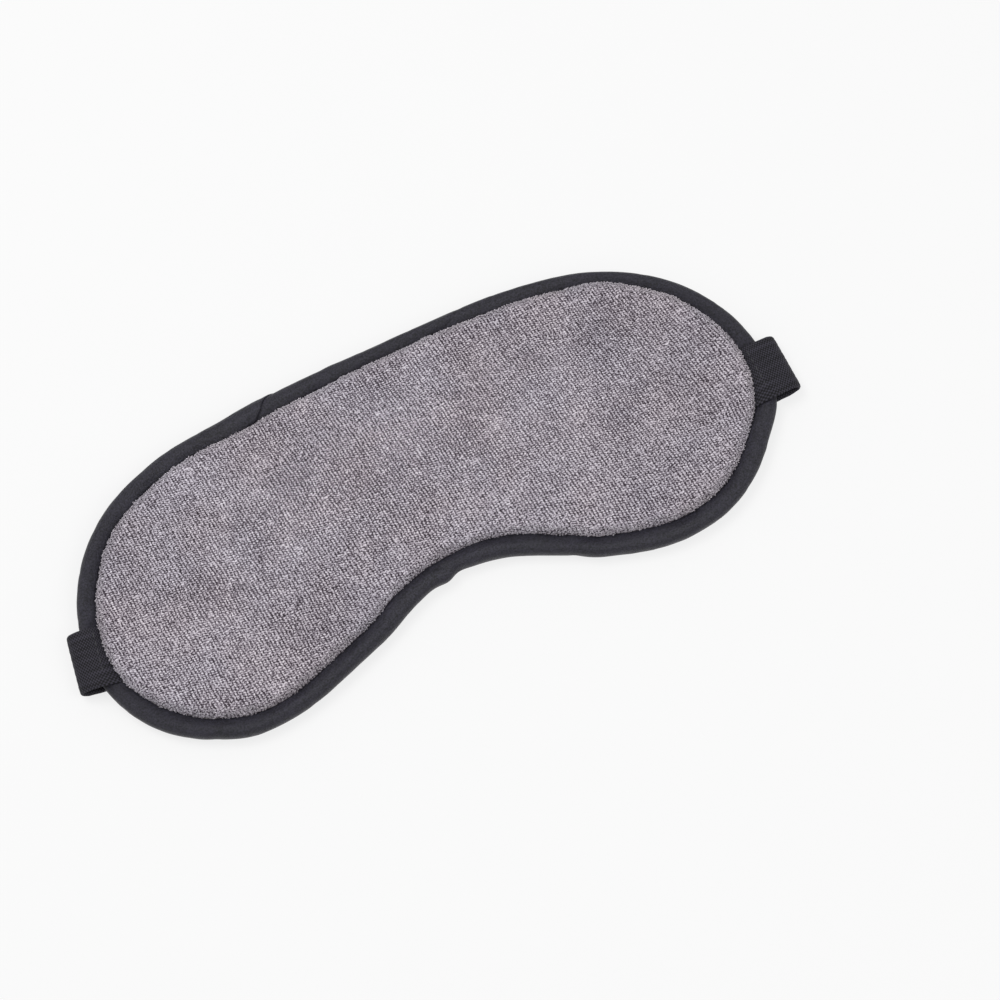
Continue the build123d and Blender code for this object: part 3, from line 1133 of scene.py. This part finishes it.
panel = terry_panel(pad_top, terry)
fringe = terry_fringe(pad_top, terry)
binding = edge_binding(tape)
back_panel, blackout_liner = back_cloths(pad_bottom, back_weave, liner_weave)
stitches = binding_stitches(pad_bottom, thread)
tacks = {name: tack_row(f"strap_tack_stitches_{name}", end, thread) for name, end in STRAP_ENDS.items()}
straps = {name: strap_piece(f"elastic_strap_{name}", end, elastic) for name, end in STRAP_ENDS.items()}
strap_back = strap_middle("elastic_strap_back", elastic)

# Each piece with the CAD node that it stands for, its slot and its body
for obj, node, slot, body in (
    (pad, "foam_pad", "foam", "mask"),
    (panel, "terry_panel", "terry_cloth", "mask"),
    (binding, "edge_binding", "binding_tape", "mask"),
    (back_panel, "back_panel", "back_cloth", "mask"),
    (blackout_liner, "blackout_liner", "liner_cloth", "mask"),
    (stitches, "binding_stitches", "thread", "mask"),
    (tacks["left"], "strap_tack_left", "thread", "mask"),
    (tacks["right"], "strap_tack_right", "thread", "mask"),
    (strap_back, "strap_run", "elastic", "strap"),
):
    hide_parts(node)
    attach(obj, body)
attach(fringe, "mask")

# The strap ends run from the fold downwards and a little inwards; each hides its CAD node and has its
# placement baked into its mesh
for name, end in STRAP_ENDS.items():
    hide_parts(f"strap_end_{name}")
    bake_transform(straps[name])

# ---- floor, light and camera ----

FLOOR_GREY, FLOOR_GLOW = (0.148, 0.152), 0.757
FLOOR_HALF_SIZE, FLOOR_LEVEL = 3000.0, -0.1


def studio_floor():
    """A plain pale floor that glows a little, so that it looks as pale as the backdrop."""
    material, tree, shader = cloth_material("studio_floor", 0.9, 0.0, 0.4, 0.1)
    stops = [(place, (grey, grey, grey)) for place, grey in zip((0.0, 1.0), FLOOR_GREY)]
    colour = ramp(tree, speckle(tree, 30.0), stops)
    tree.links.new(colour, shader.inputs["Base Color"])
    shader.inputs["Emission Color"].default_value = (1.0, 1.0, 1.0, 1.0)
    shader.inputs["Emission Strength"].default_value = FLOOR_GLOW
    corners = [(a * FLOOR_HALF_SIZE, b * FLOOR_HALF_SIZE, FLOOR_LEVEL)
               for a, b in ((-1, -1), (1, -1), (1, 1), (-1, 1))]
    floor = build("studio_floor", corners, [(0, 1, 2, 3)], material, closed=False)


def soft_light(name, place, size, watts):
    """A round area light that points at the mask."""
    light = bpy.data.lights.new(name, "AREA")
    light.shape, light.size, light.energy = "DISK", size, watts
    obj = bpy.data.objects.new(name, light)
    obj.location = place
    obj.rotation_euler = (-Vector(place)).to_track_quat("-Z", "Y").to_euler()
    bpy.context.scene.collection.objects.link(obj)


def daylight(colour, strength):
    world = bpy.data.worlds.new("studio")
    world.use_nodes = True
    background = world.node_tree.nodes["Background"]
    background.inputs["Color"].default_value = (*colour, 1)
    background.inputs["Strength"].default_value = strength
    bpy.context.scene.world = world


AZIMUTH, ELEVATION = math.radians(-25.81), math.radians(73.0)
LOOK_AT = Vector((0.0182, -0.0118, 0.0))
DISTANCE = 0.7568
FOCAL_LENGTH = 100.8


def photo_camera():
    """A long lens, looking steeply down at the mask from its nose side."""
    data = bpy.data.cameras.new("camera")
    data.lens, data.sensor_width = FOCAL_LENGTH, 36.0
    data.clip_start, data.clip_end = 0.05, 20.0
    camera = bpy.data.objects.new("camera", data)
    level = math.cos(ELEVATION)
    back = Vector((math.sin(AZIMUTH) * level, -math.cos(AZIMUTH) * level, math.sin(ELEVATION)))
    camera.location = LOOK_AT + back * DISTANCE
    camera.rotation_euler = (-back).to_track_quat("-Z", "Y").to_euler()
    bpy.context.scene.collection.objects.link(camera)
    bpy.context.scene.camera = camera


studio_floor()
daylight((1.0, 1.0, 1.0), 0.72)
soft_light("key", (-0.25, 0.35, 0.9), size=0.5, watts=5.0)
soft_light("fill", (0.45, -0.45, 0.8), size=0.6, watts=2.5)
photo_camera()
bpy.context.scene.view_settings.view_transform = "Standard"
